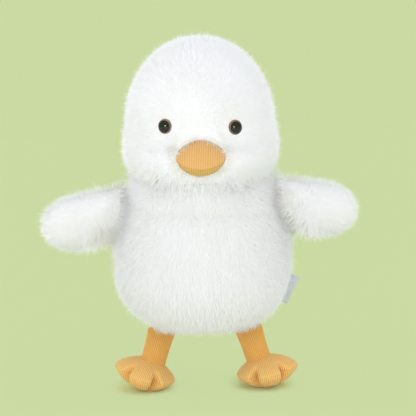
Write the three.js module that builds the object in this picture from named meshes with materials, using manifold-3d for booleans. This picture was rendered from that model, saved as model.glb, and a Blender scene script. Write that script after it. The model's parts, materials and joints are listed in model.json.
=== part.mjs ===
// Plush duck, 300 mm tall, standing on its own two feet.
// A round head sits on a pear-shaped body, both sewn from four panels of long-pile fur cloth.
// Two fur wings are sewn flat into the side seams, so they swing forward and back about that seam.
// Two ribbed-knit legs are sewn flat across the underside, so they swing forward for sitting.
// Each leg ends in a stuffed knit foot, whose front edge is tucked twice to make three toes.
// Millimetres, +Z up. The duck faces -Y, so its own left side is +X.
import * as THREE from "three";
import { mergeVertices } from "three/addons/utils/BufferGeometryUtils.js";
import Module from "manifold-3d";

const wasm = await Module();
wasm.setup();

// Clearances and cloth
const sewnGap = 0.3; // between two pieces that are sewn or pressed together
const cutOverrun = 40; // how far a cutting block runs past what it cuts
const weldTolerance = 1e-4; // points nearer than this are one point
const furCloth = 9; // backing cloth and its brushed pile together
const furBacking = 1.2; // the woven backing alone
const tailCloth = 4.5; // shorter pile on the tail
const knitCloth = 1.5; // ribbed knit of the beak, legs and feet

// Body, a pear that is widest low down
const bodyWidth = 152;
const bodyFront = 66.5;
const bodyBack = 62;
const bodyDrop = 55; // widest line down to the underside
const bodyPastNeck = 39; // neck seam up to where the pear would close inside the head
const undersideHeight = 46; // floor to the lowest point of the body
const neckHeight = 182; // floor to the neck seam
const bodySeamY = 0; // the side seams lie between the front and back panels

// Head, flatter below its cheeks than above
const headWidth = 131;
const headFront = 58;
const headBack = 56;
const crownHeight = 300; // floor to the crown: the toy's overall height
const cheekRise = 27; // neck seam up to the widest line
const chinDrop = 45.4; // widest line down to where the head would close inside the body

// Roundness of the stuffed forms: 2 is an ellipse, more is squarer
const headRoundness = 2.3;
const bodyRoundnessBelow = 2.25;
const bodyRoundnessAbove = 2;

// Eyes, moulded domes on a shank that a washer grips behind the cloth
const eyeDiameter = 13;
const eyeSpread = 60; // between the eyes' centres
const eyeRise = 45.5; // above the neck seam
const eyeRim = 1.6; // height of the straight rim below the dome
const eyeSunk = 0.8; // dome's top below the brushed pile
const eyeParting = 2.6; // how much wider the pile stands open at its surface
const shankDiameter = 4.6;
const shankLength = 9;
const washerDiameter = 15;
const washerThickness = 1.6;

// Beak, a stuffed knit pad of two panels that meet in a drooping front edge
const beakWidth = 41;
const beakReach = 26; // root line to the front edge
const beakSunk = 6; // root line behind the brushed pile
const beakCornerRise = 22.5; // corners above the neck seam
const beakUp = 14;
const beakDown = 15.5;
const beakDroop = 17; // degrees that the front edge hangs below the corners
const beakRoundnessAbove = 1.5;
const beakRoundnessBelow = 1.8;

// Wings, sewn flat into the side seam and round at the tip
const leftWingLength = 61; // hinge line to the tip
const rightWingLength = 65.5;
const wingSeamHalf = 27; // half the length of the sewn edge
const wingHalfWidth = 26;
const wingHalfThickness = 20;
const wingSeamHalfThickness = 5;
const wingSeamCorner = 9;
const wingSwell = 40; // how far from the seam it reaches full thickness
const wingTipRound = 27;
const leftWingSeamRise = 52.5; // middle of the seam above the body's widest line
const rightWingSeamRise = 48;
const wingStuffingStart = 15;
const wingStuffingSeamHalf = 13;
const wingStuffingHalfThickness = 3;
const leftWingDroop = 5.5; // degrees below level
const rightWingDroop = 9;

// Legs, knit tubes sewn flat at the hip
const hipSpread = 74; // between the hips at the body's surface
const hipY = -3;
const legHalfWidth = 10.6;
const hipHalfWidth = 11.6;
const hipHalfThickness = 3.5;
const hipCorner = 2.5;
const legSwell = 17;

// Feet, lens-shaped pads with three toes
const footSpread = 103; // between the middles of the feet
const footAhead = 1; // middle of the foot ahead of the hip
const ankleInset = 3.4; // middle of the leg towards the other foot's side, at the ankle
const footHalfWidth = 25.5;
const footFront = 31;
const footBack = 21;
const footUp = 14.5;
const footDown = 15.6;
const footRoundness = 1.65;
const soleFlat = 1.8; // how deep the sole is pressed flat by the floor
const leftFootRoll = 10; // degrees, outer edge up
const rightFootRoll = 18;
const leftFootTurn = 5; // degrees, toes outwards
const rightFootTurn = 10;
const toeTuckAngle = 30; // degrees either side of straight ahead
const toeTuckWidth = 10; // degrees
const toeTuckShare = 0.28; // of the foot's reach, drawn in by the stitch
const toeTuckFade = 8; // how fast a tuck dies away up and down from the edge

// Tail, a small fur pad low on the back
const tailLength = 30; // past the body's surface
const tailHalfWidth = 17;
const tailHalfThickness = 10;
const tailSeamHalfThickness = 6;
const tailTipRound = 22;
const tailSwell = 16;
const tailDrop = 8; // its root below the body's widest line
const tailRise = 28; // degrees above level
const tailSunk = 14; // root end inside the body's outline, cut away

// Side label, a bare folded ribbon caught in the left side seam
const labelLength = 26;
const labelDepth = 15;
const labelThickness = 1;
const labelProud = 5.5; // past the brushed pile
const labelDrop = 17; // middle of the label below the body's widest line
const labelTilt = 24; // degrees, its top edge nearer the body

// Worked out from the sizes above
const bodyWaist = undersideHeight + bodyDrop;
const bodyRise = neckHeight + bodyPastNeck - bodyWaist;
const headWaist = neckHeight + cheekRise;
const crownRise = crownHeight - headWaist;
const shankRadius = shankDiameter / 2;
const washerRadius = washerDiameter / 2;
const eyeRadius = eyeDiameter / 2;
const pileDepth = furCloth - furBacking;
const blockSize = 2 * (crownHeight + cutOverrun);

// Face counts
const bigSides = 28;
const bigRings = 14;
const fillingSides = 14;
const fillingRings = 8;
const wingSides = 20;
const wingRings = 14;
const footSides = 36;
const footRings = 8;
const legSides = 14;
const legRings = 10;
const beakSides = 20;
const beakRings = 12;
const turnedSides = 18;
const domeSteps = 5;

// Materials
const cloth = (color, roughness) => new THREE.MeshStandardMaterial({ color, roughness, metalness: 0 });
const whiteFur = cloth(0xf2f3f3, 0.95);
const stuffing = cloth(0xe6e3da, 1);
const legKnit = cloth(0xe2a552, 0.9);
const footKnit = cloth(0xe8b56e, 0.9);
const beakKnit = cloth(0xe3ac62, 0.9);
const ribbon = cloth(0xb6bcc0, 0.7);
const eyeGloss = cloth(0x17110f, 0.08);
const washerPlastic = cloth(0xf0efe8, 0.5);

const { clamp, degToRad: radians, lerp } = THREE.MathUtils;

// A closed three.js shape at its place, as a solid that can be joined and cut.
// A mirrored place turns every face round, so there the corners are read backwards.
function solidOf(geometry, place = new THREE.Matrix4()) {
  const bare = new THREE.BufferGeometry();
  const loose = geometry.index ? geometry.toNonIndexed() : geometry;
  bare.setAttribute("position", loose.getAttribute("position").clone());
  const merged = mergeVertices(bare.applyMatrix4(place), weldTolerance);
  const triVerts = new Uint32Array(merged.index.array);
  if (place.determinant() < 0) triVerts.reverse();
  const vertProperties = merged.attributes.position.array;
  return new wasm.Manifold(new wasm.Mesh({ numProp: 3, vertProperties, triVerts }));
}

// A solid as a named three.js mesh.
function piece(name, solid, material) {
  const mesh = solid.getMesh();
  const geometry = new THREE.BufferGeometry();
  geometry.setAttribute("position", new THREE.BufferAttribute(mesh.vertProperties, 3));
  geometry.setIndex(new THREE.BufferAttribute(mesh.triVerts, 1));
  geometry.computeVertexNormals();
  const made = new THREE.Mesh(geometry, material);
  made.name = name;
  return made;
}

// A place in the toy: where its origin lies, and how it is turned there.
function placed(x, y, z, turn = new THREE.Euler()) {
  const quaternion = new THREE.Quaternion().setFromEuler(turn);
  return new THREE.Matrix4().compose(new THREE.Vector3(x, y, z), quaternion, new THREE.Vector3(1, 1, 1));
}

// A block that holds everything on one side of a plane through a place, for cutting.
function beyond(axis, sign, place, parting = 0) {
  const shift = new THREE.Vector3();
  shift[axis] = (sign * (blockSize + parting)) / 2;
  const block = new THREE.BoxGeometry(blockSize, blockSize, blockSize);
  return solidOf(block.translate(shift.x, shift.y, shift.z), place);
}

// The two panels that meet in a flat seam: the one towards +axis first.
function panelsOf(cover, axis, place) {
  return [1, -1].map((sign) => cover.intersect(beyond(axis, sign, place, sewnGap)));
}

// Stuffed forms: a ball whose every point is pushed out to the form's own reach.
// In plan a form is an ellipse, deeper or shallower behind than in front, and any outline that
// the form has draws it in. In height it is rounder or squarer by its roundness.
function planReach(form, direction) {
  const depth = direction.y < 0 ? form.front : form.back;
  const across = Math.hypot(direction.x / form.side, direction.y / depth);
  if (!form.outline) return across;
  const azimuth = Math.atan2(direction.x, -direction.y);
  return across / form.outline(azimuth, Math.hypot(direction.x, direction.y));
}

function stuffedForm(form, sides, rings) {
  const ball = new THREE.SphereGeometry(1, sides, rings).rotateX(radians(90));
  const points = ball.getAttribute("position");
  const direction = new THREE.Vector3();
  for (let i = 0; i < points.count; i += 1) {
    direction.fromBufferAttribute(points, i);
    const up = direction.z > 0;
    const power = up ? form.roundAbove : form.roundBelow;
    const height = Math.abs(direction.z) / (up ? form.up : form.down);
    const reach = (planReach(form, direction) ** power + height ** power) ** (-1 / power);
    points.setXYZ(i, direction.x * reach, direction.y * reach, direction.z * reach);
  }
  return ball;
}

// The same form, smaller all round.
function inset(form, depth) {
  return {
    ...form,
    side: form.side - depth,
    front: form.front - depth,
    back: form.back - depth,
    up: form.up - depth,
    down: form.down - depth,
  };
}

// How much of its full plan a form still has at a height above or below its widest line.
function shareAt(form, z) {
  const power = z > 0 ? form.roundAbove : form.roundBelow;
  return (1 - (Math.abs(z) / (z > 0 ? form.up : form.down)) ** power) ** (1 / power);
}

// How steeply the side of a form leans in towards its top, at a height above its widest line.
function leanAt(form, z) {
  const power = form.roundAbove;
  const level = shareAt(form, z) ** (power - 1) / form.side;
  return Math.atan2((z / form.up) ** (power - 1) / form.up, level);
}

// How far ahead the front of a form lies at a place across and up, and which way it faces there.
function frontOf(form, x, z) {
  const y = -form.front * Math.sqrt(shareAt(form, z) ** 2 - (x / form.side) ** 2);
  return { y, facing: Math.atan2(x / form.side ** 2, -y / form.front ** 2) };
}

// Sewn limbs, along +X: flat and straight where they are sewn, swelling to full size, round at the tip.
// start is where the sewn edge lies, past which half the seam's thickness rolls back.
function limbSection(limb, pastEdge) {
  const along = limb.start - limb.seamHalfThickness + pastEdge;
  const swollen = Math.sin(radians(90) * clamp((along - limb.start) / limb.swell, 0, 1));
  const intoTip = Math.max(0, along - (limb.length - limb.tipRound)) / limb.tipRound;
  const tip = Math.sqrt(Math.max(0, 1 - intoTip ** 2));
  const intoCorner = Math.min(1, pastEdge / limb.corner);
  const corner = limb.corner * (1 - Math.sqrt(intoCorner * (2 - intoCorner)));
  const rolledBack = Math.min(0, along - limb.start);
  const edge = Math.sqrt(Math.max(0, limb.seamHalfThickness ** 2 - rolledBack ** 2));
  const halfWidth = (lerp(limb.seamHalf, limb.halfWidth, swollen) - corner) * tip;
  return { along, halfWidth, halfThickness: lerp(edge, limb.halfThickness, swollen) * tip };
}

// The limb's skin: slant leans the sewn edge without moving the tip.
function limbForm(limb, sides, rings) {
  const ball = new THREE.SphereGeometry(1, sides, rings).rotateZ(radians(-90));
  const points = ball.getAttribute("position");
  const whole = limb.length - limb.start + limb.seamHalfThickness;
  const direction = new THREE.Vector3();
  for (let i = 0; i < points.count; i += 1) {
    direction.fromBufferAttribute(points, i);
    const section = limbSection(limb, (whole * (1 + direction.x)) / 2);
    const around = Math.hypot(direction.y, direction.z);
    const share = around > weldTolerance ? 1 / around : 0;
    const y = section.halfThickness * direction.y * share;
    const z = section.halfWidth * direction.z * share;
    const lean = limb.slant * z * (1 - clamp(section.along / limb.length, 0, 1));
    points.setXYZ(i, section.along + lean, y, z);
  }
  return ball;
}

// The same limb, thinner all round.
function thinner(limb, depth) {
  return {
    ...limb,
    length: limb.length - depth,
    seamHalf: limb.seamHalf - depth,
    halfWidth: limb.halfWidth - depth,
    halfThickness: limb.halfThickness - depth,
    seamHalfThickness: limb.seamHalfThickness - depth,
    corner: limb.corner - depth,
  };
}

// Body and head, each a cover of four panels round its filling, parted at the flat neck seam
const bodyForm = {
  side: bodyWidth / 2,
  front: bodyFront,
  back: bodyBack,
  up: bodyRise,
  down: bodyDrop,
  roundAbove: bodyRoundnessAbove,
  roundBelow: bodyRoundnessBelow,
};
const headForm = {
  side: headWidth / 2,
  front: headFront,
  back: headBack,
  up: crownRise,
  down: chinDrop,
  roundAbove: headRoundness,
  roundBelow: headRoundness,
};
const middlePlane = placed(0, 0, 0);
const sideSeam = placed(0, bodySeamY, 0);
const bodyPlace = placed(0, 0, bodyWaist);
const headPlace = placed(0, 0, headWaist);
const neckSeam = placed(0, 0, neckHeight);
const bodySolid = (depth) => solidOf(stuffedForm(inset(bodyForm, depth), bigSides, bigRings), bodyPlace);
const headSolid = (depth) => solidOf(stuffedForm(inset(headForm, depth), bigSides, bigRings), headPlace);
const bodyFilling = (depth) =>
  solidOf(stuffedForm(inset(bodyForm, depth), fillingSides, fillingRings), bodyPlace);
const headFilling = (depth) =>
  solidOf(stuffedForm(inset(headForm, depth), fillingSides, fillingRings), headPlace);
const aboveNeck = beyond("z", 1, neckSeam, sewnGap);
const belowNeck = beyond("z", -1, neckSeam, sewnGap);

// The four panels of a cover: left and right, front and back.
function furPanels(name, cover) {
  const [left, right] = panelsOf(cover, "x", middlePlane);
  const [leftBack, leftFront] = panelsOf(left, "y", sideSeam);
  const [rightBack, rightFront] = panelsOf(right, "y", sideSeam);
  return [
    piece(`${name}_front_left`, leftFront, whiteFur),
    piece(`${name}_back_left`, leftBack, whiteFur),
    piece(`${name}_front_right`, rightFront, whiteFur),
    piece(`${name}_back_right`, rightBack, whiteFur),
  ];
}

// Beak: two knit panels and their filling, rooted on the head's backing cloth
const beakForm = {
  side: beakWidth / 2,
  front: beakReach,
  back: beakReach,
  up: beakUp,
  down: beakDown,
  roundAbove: beakRoundnessAbove,
  roundBelow: beakRoundnessBelow,
};
const beakRoot = frontOf(headForm, 0, beakCornerRise - cheekRise).y + beakSunk;
const beakTurn = new THREE.Euler(radians(beakDroop), 0, 0);
const beakPlace = placed(0, beakRoot, neckHeight + beakCornerRise, beakTurn);
const beakSolid = (depth) =>
  solidOf(stuffedForm(inset(beakForm, depth), beakSides, beakRings), beakPlace);

function beak() {
  const behind = headSolid(pileDepth - sewnGap);
  const shell = beakSolid(0).subtract(beakSolid(knitCloth)).subtract(behind);
  const filling = beakSolid(knitCloth + sewnGap).subtract(behind);
  const [upper, lower] = panelsOf(shell, "z", beakPlace);
  return [
    piece("beak_upper", upper, beakKnit),
    piece("beak_lower", lower, beakKnit),
    piece("beak_stuffing", filling, stuffing),
  ];
}

// Eyes: each stands square to the face, its flat back on the backing cloth
const eyeSeats = [1, -1].map((side) => {
  const x = (side * eyeSpread) / 2;
  const z = eyeRise - cheekRise;
  const { y, facing } = frontOf(headForm, x, z);
  const turn = new THREE.Euler(0, 0, facing);
  const out = new THREE.Vector3(0, -pileDepth, 0).applyEuler(turn);
  return placed(x - out.x, y - out.y, z + headWaist, turn);
});

// A turned solid whose own axis points out of the face, from its radius and height pairs.
function turned(profile, seat) {
  const points = profile.map(([radius, height]) => new THREE.Vector2(radius, height));
  return solidOf(new THREE.LatheGeometry(points, turnedSides).rotateX(radians(180)), seat);
}

// The dome and its rim, on the shank that goes through the cloth.
function eyeDome(seat) {
  const domeHeight = pileDepth - eyeSunk - eyeRim;
  const dome = Array.from({ length: domeSteps }, (_, step) => {
    const angle = radians((90 * step) / domeSteps);
    return [eyeRadius * Math.cos(angle), eyeRim + domeHeight * Math.sin(angle)];
  });
  const shank = [[0, -shankLength], [shankRadius, -shankLength], [shankRadius, 0], [eyeRadius, 0]];
  return turned([...shank, ...dome, [0, eyeRim + domeHeight]], seat);
}

// The washer that is pushed onto the shank behind the cloth and can't come off.
const washerTop = -(furBacking + 2 * sewnGap);
const washerUnder = washerTop - washerThickness;

function eyeWasher(seat) {
  const bore = shankRadius + sewnGap;
  const under = [[bore, washerUnder], [washerRadius, washerUnder]];
  const over = [[washerRadius, washerTop], [bore, washerTop]];
  return turned([...under, ...over, under[0]], seat);
}

// The room that an eye takes: the hole in the cloth, the parted pile, and the washer's pocket.
function eyeRoom(seat) {
  const hole = shankRadius + sewnGap;
  const rim = eyeRadius + sewnGap;
  const pocket = washerRadius + sewnGap;
  const pocketTop = washerTop + sewnGap;
  const pocketEnd = -(shankLength + sewnGap);
  const past = pileDepth + cutOverrun;
  const parted = rim + eyeParting;
  const opening = [[0, pocketTop], [hole, pocketTop], [hole, -sewnGap], [rim, -sewnGap]];
  const pile = [[parted, pileDepth], [parted, past], [0, past]];
  const behind = [[0, pocketEnd], [pocket, pocketEnd], [pocket, pocketTop]];
  return turned([...behind, ...opening.slice(1), ...pile], seat);
}

function head() {
  const beakHole = beakSolid(-sewnGap).subtract(headSolid(pileDepth));
  let cover = headSolid(0).subtract(headFilling(furCloth)).intersect(aboveNeck).subtract(beakHole);
  let filling = headFilling(furCloth + sewnGap).intersect(aboveNeck);
  for (const seat of eyeSeats) {
    cover = cover.subtract(eyeRoom(seat));
    filling = filling.subtract(eyeRoom(seat));
  }
  return [...furPanels("head", cover), piece("head_stuffing", filling, stuffing)];
}

// Side label: its root lies in a slot between the front and back panels
const labelPlace = placed(
  (bodyWidth / 2) * shareAt(bodyForm, -labelDrop) + labelProud - labelDepth / 2,
  bodySeamY,
  bodyWaist - labelDrop,
  new THREE.Euler(0, radians(labelTilt), 0),
);

function labelSolid(spare) {
  const size = [labelDepth, labelThickness, labelLength].map((each) => each + 2 * spare);
  return solidOf(new THREE.BoxGeometry(...size), labelPlace);
}

function body() {
  const slot = labelSolid(sewnGap);
  const cover = bodySolid(0).subtract(bodyFilling(furCloth)).intersect(belowNeck).subtract(slot);
  const filling = bodyFilling(furCloth + sewnGap).intersect(belowNeck).subtract(slot);
  return [
    ...furPanels("body", cover),
    piece("body_stuffing", filling, stuffing),
    piece("side_label", labelSolid(0), ribbon),
  ];
}

// Tail: a fur pad of two panels, cut by the body that it is sewn to
const tailLimb = {
  length: tailLength + tailSunk,
  start: 0,
  seamHalf: tailHalfWidth,
  halfWidth: tailHalfWidth,
  halfThickness: tailHalfThickness,
  seamHalfThickness: tailSeamHalfThickness,
  corner: tailSeamHalfThickness,
  swell: tailSwell + tailSunk,
  tipRound: tailTipRound,
  slant: 0,
};
const tailAxes = new THREE.Matrix4().makeBasis(
  new THREE.Vector3(0, Math.cos(radians(tailRise)), Math.sin(radians(tailRise))),
  new THREE.Vector3(0, -Math.sin(radians(tailRise)), Math.cos(radians(tailRise))),
  new THREE.Vector3(1, 0, 0),
);
const tailRoot = bodyBack * shareAt(bodyForm, -tailDrop) - tailSunk;
const tailPlace = placed(0, tailRoot, bodyWaist - tailDrop).multiply(tailAxes);

function tail() {
  const solid = (depth) => solidOf(limbForm(thinner(tailLimb, depth), legSides, legRings), tailPlace);
  const backOfBody = bodySolid(-sewnGap);
  const cover = solid(0).subtract(solid(tailCloth)).subtract(backOfBody);
  const [upper, lower] = panelsOf(cover, "y", tailPlace);
  return [
    piece("tail_upper", upper, whiteFur),
    piece("tail_lower", lower, whiteFur),
    piece("tail_stuffing", solid(tailCloth + sewnGap).subtract(backOfBody), stuffing),
  ];
}

// Wings: the hinge line is tangent to the body's side at the middle of the sewn edge
const wingLimb = {
  start: 0,
  seamHalf: wingSeamHalf,
  halfWidth: wingHalfWidth,
  halfThickness: wingHalfThickness,
  seamHalfThickness: wingSeamHalfThickness,
  corner: wingSeamCorner,
  swell: wingSwell,
  tipRound: wingTipRound,
};

function wingHinge(seamRise, lean, droop) {
  const side = (bodyWidth / 2) * shareAt(bodyForm, seamRise);
  const offset = wingSeamHalfThickness * Math.cos(lean + droop) + sewnGap;
  const height = bodyWaist + seamRise + offset * Math.sin(lean);
  return placed(side + offset * Math.cos(lean), bodySeamY, height);
}

// The filling stops short of the sewn edge, which is what lets the wing swing there.
function wingInside(limb, depth) {
  const spare = depth - furCloth;
  return {
    ...thinner(limb, depth),
    start: wingStuffingStart + spare,
    seamHalf: wingStuffingSeamHalf - spare,
    seamHalfThickness: wingStuffingHalfThickness - spare,
    corner: wingStuffingHalfThickness,
    tipRound: wingTipRound - depth,
    swell: wingSwell - wingStuffingStart,
  };
}

function wing(name, side, { length, seamRise, droop }) {
  const lean = leanAt(bodyForm, seamRise);
  const limb = { ...wingLimb, length, slant: -Math.tan(lean + radians(droop)) };
  const mirror = new THREE.Matrix4().makeScale(side, 1, 1);
  const hang = placed(0, 0, 0, new THREE.Euler(0, radians(droop), 0));
  const place = mirror.multiply(wingHinge(seamRise, lean, radians(droop))).multiply(hang);
  const inside = (depth) =>
    solidOf(limbForm(wingInside(limb, depth), fillingSides, fillingRings), place);
  const cover = solidOf(limbForm(limb, wingSides, wingRings), place).subtract(inside(furCloth));
  const [back, front] = panelsOf(cover, "y", sideSeam);
  return [
    piece(`wing_${name}_front`, front, whiteFur),
    piece(`wing_${name}_back`, back, whiteFur),
    piece(`wing_${name}_stuffing`, inside(furCloth + sewnGap), stuffing),
  ];
}

// Legs: each runs from the hip, on the body's underside, to the middle of its foot
const hipAcross = Math.hypot(hipSpread / bodyWidth, hipY / bodyFront);
const hipDrop = bodyDrop * (1 - hipAcross ** bodyRoundnessBelow) ** (1 / bodyRoundnessBelow);
const footMiddle = footDown - soleFlat;
const hipX = hipSpread / 2;
const hipZ = bodyWaist - hipDrop;
const ankleX = footSpread / 2 - ankleInset;
const legSplay = Math.atan2(ankleX - hipX, hipZ - footMiddle);
const hipOffset = hipHalfThickness + sewnGap;
const legLimb = {
  length: Math.hypot(ankleX - hipX, hipZ - footMiddle) - hipOffset,
  start: 0,
  seamHalf: hipHalfWidth,
  halfWidth: legHalfWidth,
  halfThickness: legHalfWidth,
  seamHalfThickness: hipHalfThickness,
  corner: hipCorner,
  swell: legSwell,
  tipRound: legHalfWidth,
  slant: 0,
};

// Feet: the floor presses the sole flat, and two stitched tucks part the front edge into toes
const footForm = {
  side: footHalfWidth,
  front: footFront,
  back: footBack,
  up: footUp,
  down: footDown,
  roundAbove: footRoundness,
  roundBelow: footRoundness,
  outline: (azimuth, level) => {
    const tuck = (at) => Math.exp(-(((azimuth - radians(at)) / radians(toeTuckWidth)) ** 2));
    return 1 - toeTuckShare * level ** toeTuckFade * (tuck(toeTuckAngle) + tuck(-toeTuckAngle));
  },
};

function legAndFoot(name, side, roll, turn) {
  const footTilt = new THREE.Euler(0, radians(-roll), radians(turn), "ZYX");
  const mirror = new THREE.Matrix4().makeScale(side, 1, 1);
  const downwards = new THREE.Euler(0, radians(90) - legSplay, 0);
  const hingeX = hipX + hipOffset * Math.sin(legSplay);
  const hingeZ = hipZ - hipOffset * Math.cos(legSplay);
  const legPlace = mirror.clone().multiply(placed(hingeX, hipY, hingeZ, downwards));
  const footPlace = mirror.multiply(placed(footSpread / 2, hipY - footAhead, footMiddle, footTilt));
  return [...leg(name, legPlace, footPlace), ...foot(name, footPlace)];
}

function leg(name, legPlace, footPlace) {
  const solid = (depth) => solidOf(limbForm(thinner(legLimb, depth), legSides, legRings), legPlace);
  const ankle = solidOf(stuffedForm(inset(footForm, -sewnGap), footSides, footRings), footPlace);
  return [
    piece(`leg_${name}_cover`, solid(0).subtract(solid(knitCloth)).subtract(ankle), legKnit),
    piece(`leg_${name}_stuffing`, solid(knitCloth + sewnGap).subtract(ankle), stuffing),
  ];
}

function foot(name, footPlace) {
  const above = (height) => beyond("z", 1, placed(0, 0, height));
  const outside = solidOf(stuffedForm(footForm, footSides, footRings), footPlace).intersect(above(0));
  const core = (depth) => stuffedForm(inset(footForm, depth), fillingSides, fillingRings);
  const inside = (depth) => solidOf(core(depth), footPlace).intersect(above(depth));
  const [upper, sole] = panelsOf(outside.subtract(inside(knitCloth)), "z", footPlace);
  return [
    piece(`foot_${name}_upper`, upper, footKnit),
    piece(`foot_${name}_sole`, sole, footKnit),
    piece(`foot_${name}_stuffing`, inside(knitCloth + sewnGap), stuffing),
  ];
}

// The whole toy, moved so that its origin is on the floor under the middle of its box
const duck = new THREE.Group();
duck.add(...head(), ...body(), ...beak(), ...tail());
["left", "right"].forEach((name, index) => {
  duck.add(piece(`eye_${name}`, eyeDome(eyeSeats[index]), eyeGloss));
  duck.add(piece(`eye_washer_${name}`, eyeWasher(eyeSeats[index]), washerPlastic));
});
const leftWing = { length: leftWingLength, seamRise: leftWingSeamRise, droop: leftWingDroop };
const rightWing = { length: rightWingLength, seamRise: rightWingSeamRise, droop: rightWingDroop };
duck.add(...wing("left", 1, leftWing), ...wing("right", -1, rightWing));
duck.add(...legAndFoot("left", 1, leftFootRoll, leftFootTurn));
duck.add(...legAndFoot("right", -1, rightFootRoll, rightFootTurn));

const box = new THREE.Box3().setFromObject(duck);
const middle = box.getCenter(new THREE.Vector3());
duck.position.set(-middle.x, -middle.y, -box.min.z);

export default duck;
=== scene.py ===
import json
import math
from types import SimpleNamespace

import bmesh
import bpy
import numpy as np
from mathutils import Euler, Matrix, Vector, kdtree


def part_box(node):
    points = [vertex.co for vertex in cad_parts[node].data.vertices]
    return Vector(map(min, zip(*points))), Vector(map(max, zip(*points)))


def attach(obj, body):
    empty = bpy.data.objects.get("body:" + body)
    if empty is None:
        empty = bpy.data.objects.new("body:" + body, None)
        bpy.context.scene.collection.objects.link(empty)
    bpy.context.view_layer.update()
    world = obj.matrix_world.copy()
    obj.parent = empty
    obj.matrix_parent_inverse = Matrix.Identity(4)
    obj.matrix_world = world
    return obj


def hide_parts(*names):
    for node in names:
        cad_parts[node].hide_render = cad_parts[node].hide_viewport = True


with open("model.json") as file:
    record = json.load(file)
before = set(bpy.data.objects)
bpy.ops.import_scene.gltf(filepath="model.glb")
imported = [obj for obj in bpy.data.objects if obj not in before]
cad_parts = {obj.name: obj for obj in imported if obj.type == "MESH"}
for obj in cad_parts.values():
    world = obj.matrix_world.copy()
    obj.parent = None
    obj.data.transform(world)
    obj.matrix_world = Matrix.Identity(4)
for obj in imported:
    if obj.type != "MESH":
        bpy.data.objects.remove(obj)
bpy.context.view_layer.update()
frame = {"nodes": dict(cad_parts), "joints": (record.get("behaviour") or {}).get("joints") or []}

# Camera: the photograph is taken from a little above the toy's eyes with a long lens, and the
# camera is rolled a little, so that the toy's own left side rides up in the picture.
middle_x = (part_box("body_front_left")[0].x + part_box("body_front_right")[1].x) / 2
seam_y = (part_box("body_front_left")[1].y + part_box("body_back_left")[0].y) / 2
camera_place = Vector((middle_x, seam_y - 1.1, 0.300))
camera_target = Vector((middle_x + 0.005, seam_y, 0.1545))
camera_roll = math.radians(-1.4)
camera_lens = 112.7

camera = bpy.data.objects.new("camera", bpy.data.cameras.new("camera"))
camera.data.lens = camera_lens
camera.data.sensor_width = 36
look = (camera_target - camera_place).to_track_quat("-Z", "Y")
camera.matrix_world = Matrix.Translation(camera_place) @ look.to_matrix().to_4x4() @ Matrix.Rotation(
    camera_roll, 4, "Z")
bpy.context.collection.objects.link(camera)
bpy.context.scene.camera = camera


# Head and body under the fur: two stuffed forms of backing cloth, wide and soft, with the dense
# underside of the pile on them. The body is a pear, the head a squarer egg, and they meet at the neck.
def span(*nodes):
    """The lowest and highest corner of several CAD nodes together."""
    corners = [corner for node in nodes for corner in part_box(node)]
    low = Vector([min(c[i] for c in corners) for i in range(3)])
    high = Vector([max(c[i] for c in corners) for i in range(3)])
    return low, high


def quarter_nodes(part):
    return [f"{part}_{face}_{side}" for face in ("front", "back") for side in ("left", "right")]


head_low, head_high = span(*quarter_nodes("head"))
body_low, body_high = span(*quarter_nodes("body"))
neck_z = (head_low.z + body_high.z) / 2
undercoat_depth = 0.0050  # the dense pile lies this far inside the brushed outline
head_undercoat_depth = undercoat_depth - 0.001


def ball_form(centre, side, front, back, up, down, above=2.0, below=2.0, outline=None):
    """A stuffed form: deeper or shallower behind than in front, and rounder or squarer in height."""
    return SimpleNamespace(centre=np.array(centre, float), side=side, front=front, back=back, up=up,
                           down=down, above=above, below=below, outline=outline)


def smaller(form, depth):
    return ball_form(form.centre, form.side - depth, form.front - depth, form.back - depth,
                     form.up - depth, form.down - depth, form.above, form.below, form.outline)


def filled(form, directions):
    """Directions from the form's centre, moved out to its surface. The centre isn't added."""
    away = np.asarray(directions, float)
    depth = np.where(away[:, 1] < 0, form.front, form.back)
    across = np.hypot(away[:, 0] / form.side, away[:, 1] / depth)
    if form.outline:
        across = across / form.outline(away)
    height = np.abs(away[:, 2]) / np.where(away[:, 2] > 0, form.up, form.down)
    power = np.where(away[:, 2] > 0, form.above, form.below)
    return away * ((across**power + height**power) ** (-1 / power))[:, None]


body_widest = 0.101  # height of the body's widest place
body_rise = 0.120  # from there to where the pear would close, above the neck
cheek_rise = 0.027  # from the neck seam to the head's widest place
chin_drop = 0.0454  # from there to where the egg would close, below the neck
body_form = ball_form((middle_x, seam_y, body_widest), (body_high.x - body_low.x) / 2,
                      seam_y - body_low.y, body_high.y - seam_y, body_rise, body_widest - body_low.z, 2, 2.25)
head_middle = np.array((middle_x, seam_y, neck_z + cheek_rise))
eye_offset = {"left": -0.0016, "right": 0.0006}  # hand-set eyes: one sits a little lower than the other
eye_middles = [np.array(sum(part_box(f"eye_{side}"), Vector()) / 2) + (0, 0, rise)
               for side, rise in eye_offset.items()]


def cheeks(away):
    """The washers draw the head in round each eye and a little at their height. The cheeks swell below."""
    rise = np.degrees(np.arcsin(away[:, 2]))
    drawn = sum(np.exp(-((np.degrees(np.arccos(np.clip(away @ (eye / np.linalg.norm(eye)), -1, 1))) / 11) ** 2))
                for eye in np.array(eye_middles) - head_middle)
    return (1 - 0.022 * np.exp(-(((rise - 18) / 9) ** 2)) + 0.008 * np.exp(-(((rise + 4) / 10) ** 2))
            - 0.04 * drawn)


head_form = ball_form(head_middle, (head_high.x - head_low.x) / 2,
                      seam_y - head_low.y, head_high.y - seam_y, head_high.z - neck_z - cheek_rise,
                      chin_drop, 2.2, 2.1, cheeks)


def corners_of(shape):
    return np.array([v.co for v in shape.verts])


def move_to(shape, points):
    for vertex, point in zip(shape.verts, points):
        vertex.co = point


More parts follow.
